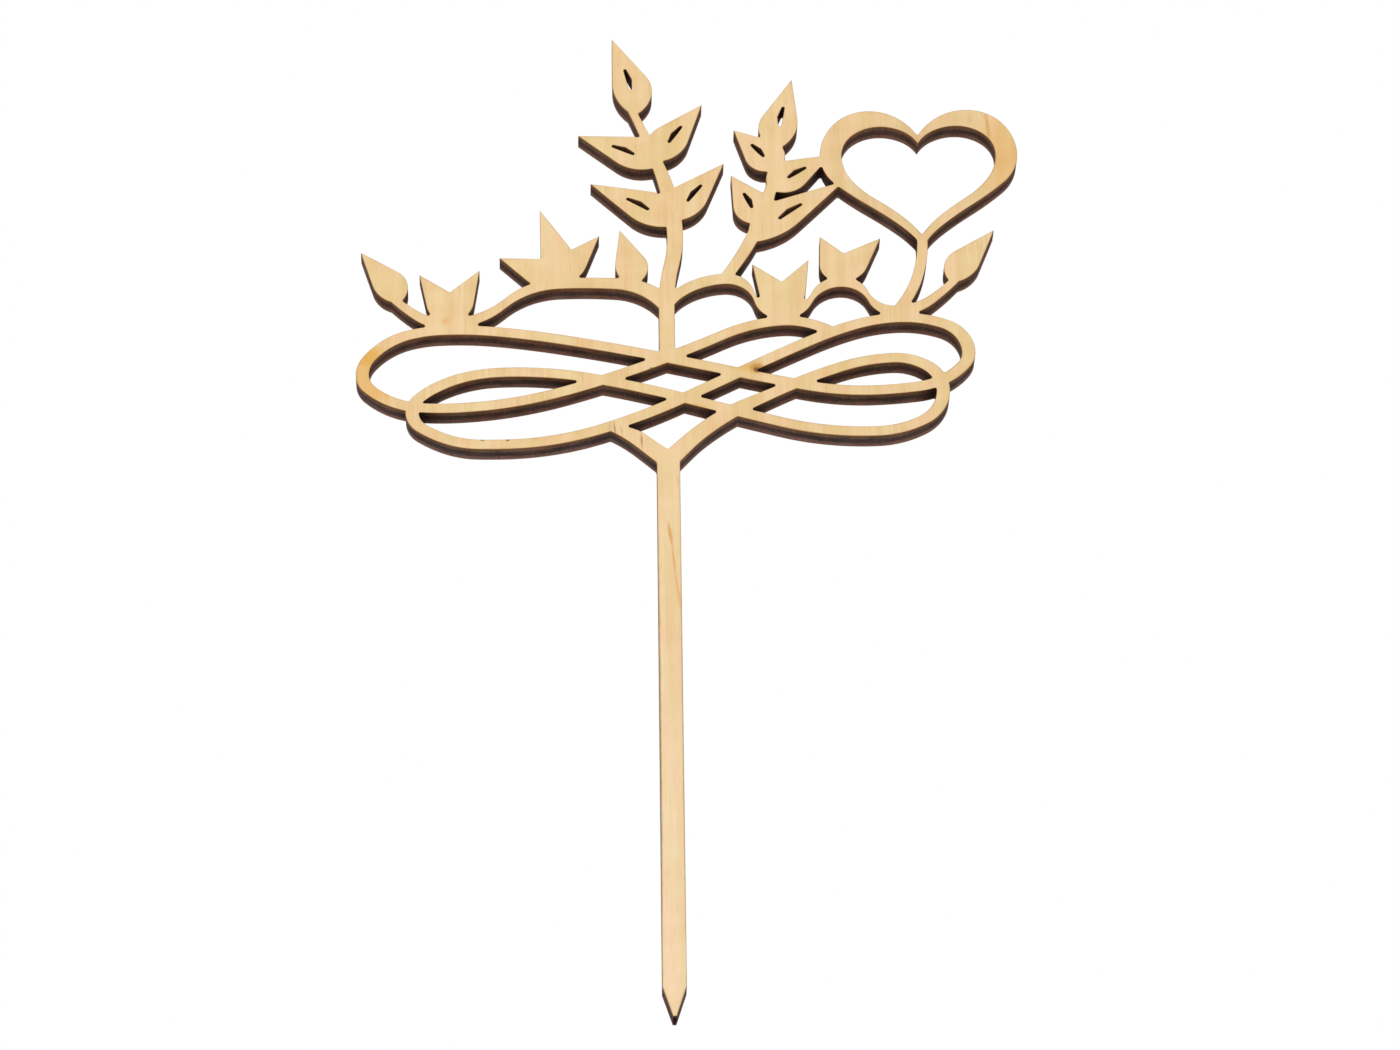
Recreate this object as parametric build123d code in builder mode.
from build123d import *
import os
from math import atan2, cos, degrees, radians, sin, sqrt, tan

# A cake topper cut by laser from one sheet of three-ply birch plywood.
# X runs along the ornament, Z up, and the front face looks along -Y.
# The origin is the point of the stake, halfway through the sheet.

# Plies of the sheet, from front to back
front_veneer_thickness = 1.5
core_veneer_thickness = 1.5
back_veneer_thickness = 1.5

# Stake that goes into the cake, from its point up to the fork
stake_width = 5.25
stake_length = 138.3
stake_point_length = 7.0
stake_point_width = 0.8

# Broad nib that draws the scroll: its two widths and the slant of its edge
scroll_thin = 2.6
scroll_thick = 3.1
scroll_nib_angle = -10.0
fork_stroke = 4.4
fork_bend_stroke = 3.9

# Turning points of the scroll's pen line, as X and the rise above the fork
inner_right_crest = (51.5, 25.9)
inner_right_end = (62.7, 16.5)
inner_right_bottom = (48.0, 6.2)
inner_left_crest = (-39.0, 26.9)
inner_left_shoulder = (-53.7, 23.2)
inner_left_end = (-58.5, 17.2)
inner_left_foot = (-51.1, 9.6)
inner_left_bottom = (-35.0, 7.2)
outer_right_rise = (34.0, 32.2)
outer_right_crest = (53.0, 36.9)
outer_right_end = (68.9, 26.5)
outer_right_foot = (65.2, 20.8)
outer_right_bottom = (48.0, 17.3)
outer_left_rise = (-26.4, 35.7)
outer_left_crest = (-52.5, 39.3)
outer_left_shoulder = (-65.6, 35.6)
outer_left_end = (-70.2, 28.2)
outer_left_foot = (-64.3, 20.8)
outer_left_bottom = (-48.0, 17.7)
middle_crest = (27.0, 37.5)

# Places where that line forks, crosses itself and ends, as X and the rise above the fork
right_fork_start = (-0.6, 0.2)
right_fork_bend = (8.3, 8.9)
left_fork_start = (0.6, 0.2)
left_fork_bend = (-5.8, 6.2)
left_fork_meeting = (-12.8, 10.8)
right_crossing = (29.1, 20.1)
high_crossing = (15.5, 24.1)
middle_crossing = (3.7, 17.6)
top_crossing = (0.0, 28.9)
middle_crest_meeting = (36.9, 34.5)

# Heart: its axis, the rise of its tip above the fork, its outline and its stroke
heart_axis = 59.5
heart_tip_rise = 56.5
heart_half_width = 23.1
heart_height = 39.2
heart_widest_rise = 26.2
heart_lobe_offset = 11.5
heart_cusp_drop = 7.4
heart_flank = (12.0, 11.7)
heart_side_stroke = 5.1
heart_top_stroke = 4.7
heart_flank_stroke = 2.55
heart_cusp_stroke = 2.3
heart_tip_stroke = 3.3
heart_lobe_inset = 2.6
heart_tip_heading = 58
heart_flank_heading = 36
heart_cusp_heading = 242
heart_slope_angle = -2.5

# Broad nib that draws the stems of the vine, and how deep it sinks into the scroll
vine_thin = 2.5
vine_thick = 4.0
vine_nib_angle = 30.0
vine_tip_width = 2.0
vine_sink = 0.9

# Branches: the wave of their stems on the scroll and their ends
branch_fork_rise = 43.5
left_rest_place = (-50.0, 39.2)
branch_wave_rise = 8.6
branch_end_run = 14.5
branch_end_rise = 9.0

# Sprigs: where their stems bend and end, as X and the rise above the fork
tall_sprig_bend = (2.0, 66.0)
tall_sprig_end = (-8.2, 101.0)
short_sprig_bend = (22.0, 66.0)
short_sprig_end = (27.0, 88.5)

# Leaves: small ones along the branches, large ones slit along their veins on the sprigs
small_leaf_length = 16.0
small_leaf_width = 6.8
large_leaf_length = 21.5
large_leaf_width = 8.2
leaf_bend_share = 0.05
leaf_shoulder_share = 0.45
vein_start_share = 0.5
vein_end_share = 0.48
vein_width = 1.3

# Leaves of each stem: the share of the stem at their root, their heading and their size
left_branch_leaves = [(0.14, 100, 1.0), (0.95, 122, 1.1)]
right_branch_leaves = [(0.97, 54, 1.1)]
tall_sprig_leaves = [
    (0.50, 146, 1.1),
    (0.52, 53, 0.92),
    (0.74, 152, 1.0),
    (0.76, 56, 0.9),
    (0.96, 103, 1.1),
]
short_sprig_leaves = [(0.42, 114, 0.72), (0.80, 128, 0.72), (0.95, 80, 0.95)]
heart_leaf_shares = (0.28, 0.66)

# Leaves of the buds that stand on the crests: their heading and their size
left_wave_bud = [(150, 1.0), (102, 1.35), (54, 1.0)]
left_rest_bud = [(118, 1.0), (66, 1.0)]
middle_rest_bud = [(116, 1.0), (68, 1.0)]
right_wave_bud = [(108, 0.85), (50, 0.95)]

# Turns smaller than this, in degrees, are drawn straight
straight_angle = 0.5

sheet_thickness = front_veneer_thickness + core_veneer_thickness + back_veneer_thickness


def above_fork(place):
    """A place given as X and rise above the fork, in the sheet's plane."""
    return Vector(place[0], stake_length + place[1])


def heading(direction):
    """The angle of a direction from +X, in degrees."""
    return degrees(atan2(direction.Y, direction.X))


def toward(angle):
    """The direction at an angle from +X."""
    return Vector(cos(radians(angle)), sin(radians(angle)))


def left_of(direction):
    """The direction a quarter turn to the left."""
    return Vector(-direction.Y, direction.X)


def arc_or_line(start, direction, end):
    """Draws the arc that leaves a point in a direction, or a line where it is straight."""
    if (end - start).get_angle(direction) < straight_angle:
        Line(start, end)
    else:
        TangentArc(start, end, tangent=direction)


def tangent_arcs(knots, directions):
    """Draws a smooth line through knots with given directions, two tangent arcs to a span."""
    for start, end, leaving, arriving in zip(knots, knots[1:], directions, directions[1:]):
        chord = end - start
        lean = chord.dot(leaving + arriving)
        spread = 2 * (1 - leaving.dot(arriving))
        if spread < 1e-6:
            reach = chord.dot(chord) / (2 * lean)
        else:
            reach = (sqrt(lean**2 + spread * chord.dot(chord)) - lean) / spread
        joint = (start + end + (leaving - arriving) * reach) / 2
        arc_or_line(start, leaving, joint)
        arc_or_line(end, -arriving, joint)


def pen_stroke(knots, directions, widths):
    """Adds the mark of a pen drawn through knots, with its width at each."""
    sides = []
    for sign in (1, -1):
        offsets = [
            left_of(direction) * (sign * width / 2)
            for direction, width in zip(directions, widths)
        ]
        sides.append([knot + offset for knot, offset in zip(knots, offsets)])
    left_side, right_side = sides
    with BuildLine() as mark:
        tangent_arcs(left_side, directions)
        tangent_arcs(right_side, directions)
        Line(left_side[0], right_side[0])
        Line(left_side[-1], right_side[-1])
    make_face(mark.edges())


def nib_widths(directions, thin, thick, slant):
    """The widths of the marks that a rounded broad nib leaves along directions."""
    widths = []
    for direction in directions:
        turn = radians(heading(direction) - slant)
        widths.append(sqrt((thin * cos(turn)) ** 2 + (thick * sin(turn)) ** 2))
    return widths


def scroll_stroke(run, first_widths=()):
    """Adds one run of the scroll's pen, given as places and the headings of the pen there."""
    knots = [above_fork(place) for place, angle in run]
    directions = [toward(angle) for place, angle in run]
    widths = nib_widths(directions, scroll_thin, scroll_thick, scroll_nib_angle)
    widths[: len(first_widths)] = first_widths
    pen_stroke(knots, directions, widths)


def vine_stem(knots, angles, tip_width=vine_tip_width):
    """Adds one stem of the vine, tapered at its tip, and gives back its middle line."""
    directions = [toward(angle) for angle in angles]
    widths = nib_widths(directions, vine_thin, vine_thick, vine_nib_angle)
    widths[-1] = tip_width
    pen_stroke(knots, directions, widths)
    with BuildLine() as middle:
        tangent_arcs(knots, directions)
    return middle.wire()


def leaf_middle(root, tip):
    """The middle of a leaf between its shoulders, a little above the line from root to tip."""
    run = tip - root
    upward = left_of(run) if run.X > 0 else -left_of(run)
    return root + run * leaf_shoulder_share + upward * leaf_bend_share


def leaf(root, tip, width):
    """Adds a leaf, round at its root and straight to its tip."""
    half_width = left_of(tip - root).normalized() * (width / 2)
    middle = leaf_middle(root, tip)
    with BuildLine() as blade:
        for shoulder in (middle + half_width, middle - half_width):
            Line(tip, shoulder)
            TangentArc(shoulder, root, tangent=shoulder - tip)
    make_face(blade.edges())


def small_leaf(root, angle, size):
    """Adds a plain leaf of a branch by its heading and size."""
    leaf(root, root + toward(angle) * (size * small_leaf_length), small_leaf_width)


def veined_leaf(root, tip):
    """Adds a leaf of a sprig, slit along its vein."""
    leaf(root, tip, large_leaf_width)
    half_slit = left_of(tip - root).normalized() * (vein_width / 2)
    middle = leaf_middle(root, tip)
    with BuildLine() as slit:
        Polyline(
            root + (middle - root) * vein_start_share,
            middle + half_slit,
            middle + (tip - middle) * vein_end_share,
            middle - half_slit,
            close=True,
        )
    make_face(slit.edges(), mode=Mode.SUBTRACT)


def large_leaf(root, angle, size):
    """Adds a veined leaf of a sprig by its heading and size."""
    veined_leaf(root, root + toward(angle) * (size * large_leaf_length))


def sloped(x, rise):
    """A step from the heart's tip, with the slope that runs across the heart."""
    return Vector(x, rise + x * tan(radians(heart_slope_angle)))


def heart_outline(places, angles):
    """Draws a heart's outline from its tip to its cusp, once on each side."""
    for side in (1, -1):
        knots = [heart_tip + sloped(side * x, rise) for x, rise in places]
        steps = [sloped(side * cos(radians(angle)), sin(radians(angle))) for angle in angles]
        tangent_arcs(knots, [step.normalized() for step in steps])


def on_scroll(place):
    """The place of a branch's stem where it rests on a crest of the scroll."""
    level = [Vector(1, 0)]
    scroll_width = nib_widths(level, scroll_thin, scroll_thick, scroll_nib_angle)[0]
    vine_width = nib_widths(level, vine_thin, vine_thick, vine_nib_angle)[0]
    return above_fork(place) + Vector(0, (scroll_width + vine_width) / 2 - vine_sink)


# Outline of the whole sheet, drawn as seen from the front
with BuildSketch() as outline:
    # Stake with its point
    with BuildLine():
        Polyline(
            (-stake_point_width / 2, 0),
            (stake_point_width / 2, 0),
            (stake_width / 2, stake_point_length),
            (stake_width / 2, stake_length),
            (-stake_width / 2, stake_length),
            (-stake_width / 2, stake_point_length),
            close=True,
        )
    make_face()

    # Scroll: one pen line from the fork round its four loops, and the short arm of the fork
    scroll_stroke(
        [
            (right_fork_start, 46),
            (right_fork_bend, 39),
            (right_crossing, 24),
            (inner_right_crest, 0),
            (inner_right_end, -90),
        ],
        [fork_stroke, fork_bend_stroke],
    )
    scroll_stroke(
        [
            (inner_right_end, -90),
            (inner_right_bottom, 180),
            (middle_crossing, 160),
            (inner_left_crest, 180),
            (inner_left_shoulder, 210),
            (inner_left_end, 270),
        ]
    )
    scroll_stroke(
        [
            (inner_left_end, -90),
            (inner_left_foot, -25),
            (inner_left_bottom, 0),
            (middle_crossing, 26),
            (outer_right_rise, 24),
            (outer_right_crest, 0),
            (outer_right_end, -90),
        ]
    )
    scroll_stroke(
        [
            (outer_right_end, -90),
            (outer_right_foot, 216),
            (outer_right_bottom, 180),
            (high_crossing, 163),
            (outer_left_rise, 167),
            (outer_left_crest, 180),
            (outer_left_shoulder, 218),
            (outer_left_end, 270),
        ]
    )
    scroll_stroke(
        [
            (outer_left_end, -90),
            (outer_left_foot, -30),
            (outer_left_bottom, 0),
            (top_crossing, 22),
            (middle_crest, 0),
            (middle_crest_meeting, -30),
        ]
    )
    scroll_stroke(
        [(left_fork_start, 134), (left_fork_bend, 136), (left_fork_meeting, 150)],
        [fork_stroke, fork_bend_stroke],
    )

    # Heart, less its inside
    heart_tip = above_fork((heart_axis, heart_tip_rise))
    flank_inset = left_of(toward(heart_flank_heading)) * heart_flank_stroke
    heart_headings = [heart_tip_heading, heart_flank_heading, 90, 180, heart_cusp_heading]
    with BuildLine():
        heart_outline(
            [
                (0, 0),
                heart_flank,
                (heart_half_width, heart_widest_rise),
                (heart_lobe_offset, heart_height),
                (0, heart_height - heart_cusp_drop),
            ],
            heart_headings,
        )
    make_face()
    with BuildLine():
        heart_outline(
            [
                (0, heart_tip_stroke),
                (heart_flank[0] + flank_inset.X, heart_flank[1] + flank_inset.Y),
                (heart_half_width - heart_side_stroke, heart_widest_rise),
                (heart_lobe_offset - heart_lobe_inset, heart_height - heart_top_stroke),
                (0, heart_height - heart_cusp_drop - heart_cusp_stroke),
            ],
            heart_headings,
        )
    make_face(mode=Mode.SUBTRACT)

    # Tall sprig, from the scroll's top crossing
    branch_fork = above_fork((top_crossing[0], branch_fork_rise))
    tall_stem = vine_stem(
        [above_fork(top_crossing), branch_fork, above_fork(tall_sprig_bend), above_fork(tall_sprig_end)],
        [90, 90, 95, 112],
    )
    for share, angle, size in tall_sprig_leaves:
        large_leaf(tall_stem @ share, angle, size)

    # Branches: waving stems that rest on the scroll's crests
    left_rest = on_scroll(left_rest_place)
    middle_rest = on_scroll(middle_crest)
    right_rest = on_scroll(outer_right_crest)
    wave_top = Vector(0, branch_wave_rise)
    left_wave = (branch_fork + left_rest) * 0.5 + wave_top
    middle_wave = (branch_fork + middle_rest) * 0.5 + wave_top
    right_wave = (middle_rest + right_rest) * 0.5 + wave_top
    left_end = left_rest + Vector(-branch_end_run, branch_end_rise)
    right_end = right_rest + Vector(branch_end_run, branch_end_rise)
    left_branch = vine_stem([branch_fork, left_wave, left_rest, left_end], [125, 180, 180, 130])
    right_branch = vine_stem(
        [branch_fork, middle_wave, middle_rest, right_wave, right_rest, right_end],
        [55, 0, 0, 0, 0, 50],
    )
    for share, angle, size in left_branch_leaves:
        small_leaf(left_branch @ share, angle, size)
    for share, angle, size in right_branch_leaves:
        small_leaf(right_branch @ share, angle, size)

    # Buds that stand on the crests of the scroll and of the branches
    buds = [
        (left_wave, left_wave_bud),
        (left_rest, left_rest_bud),
        (middle_rest, middle_rest_bud),
        (right_wave, right_wave_bud),
    ]
    for root, leaves in buds:
        for angle, size in leaves:
            small_leaf(root, angle, size)

    # Stem that carries the heart
    vine_stem([right_rest, heart_tip + Vector(0, heart_tip_stroke / 2)], [50, 90], vine_thin)

    # Short sprig, with two leaves that hold the heart's left side
    short_stem = vine_stem(
        [middle_wave, above_fork(short_sprig_bend), above_fork(short_sprig_end)], [55, 70, 84]
    )
    for share, angle, size in short_sprig_leaves:
        large_leaf(short_stem @ share, angle, size)
    heart_side = heart_tip + sloped(-heart_half_width, heart_widest_rise)
    heart_left_flank = heart_tip + sloped(-heart_flank[0], heart_flank[1])
    low_share, high_share = heart_leaf_shares
    veined_leaf(short_stem @ low_share, (heart_side + heart_left_flank) * 0.5)
    veined_leaf(short_stem @ high_share, heart_side + Vector(heart_side_stroke / 2, 0))

back_face = Plane.XZ.offset(-sheet_thickness / 2)
back_joint = back_face.offset(back_veneer_thickness)
front_joint = back_joint.offset(core_veneer_thickness)

# Back veneer, grain upright
with BuildPart() as back_veneer:
    with BuildSketch(back_face):
        add(outline.sketch)
    extrude(amount=back_veneer_thickness)

# Core veneer, grain across
with BuildPart() as core_veneer:
    with BuildSketch(back_joint):
        add(outline.sketch)
    extrude(amount=core_veneer_thickness)

# Front veneer, grain upright
with BuildPart() as front_veneer:
    with BuildSketch(front_joint):
        add(outline.sketch)
    extrude(amount=front_veneer_thickness)

os.makedirs("parts", exist_ok=True)
front_veneer.part.label = "front_veneer"
core_veneer.part.label = "core_veneer"
back_veneer.part.label = "back_veneer"
export_step(front_veneer.part, "parts/front_veneer.step")
export_step(core_veneer.part, "parts/core_veneer.step")
export_step(back_veneer.part, "parts/back_veneer.step")
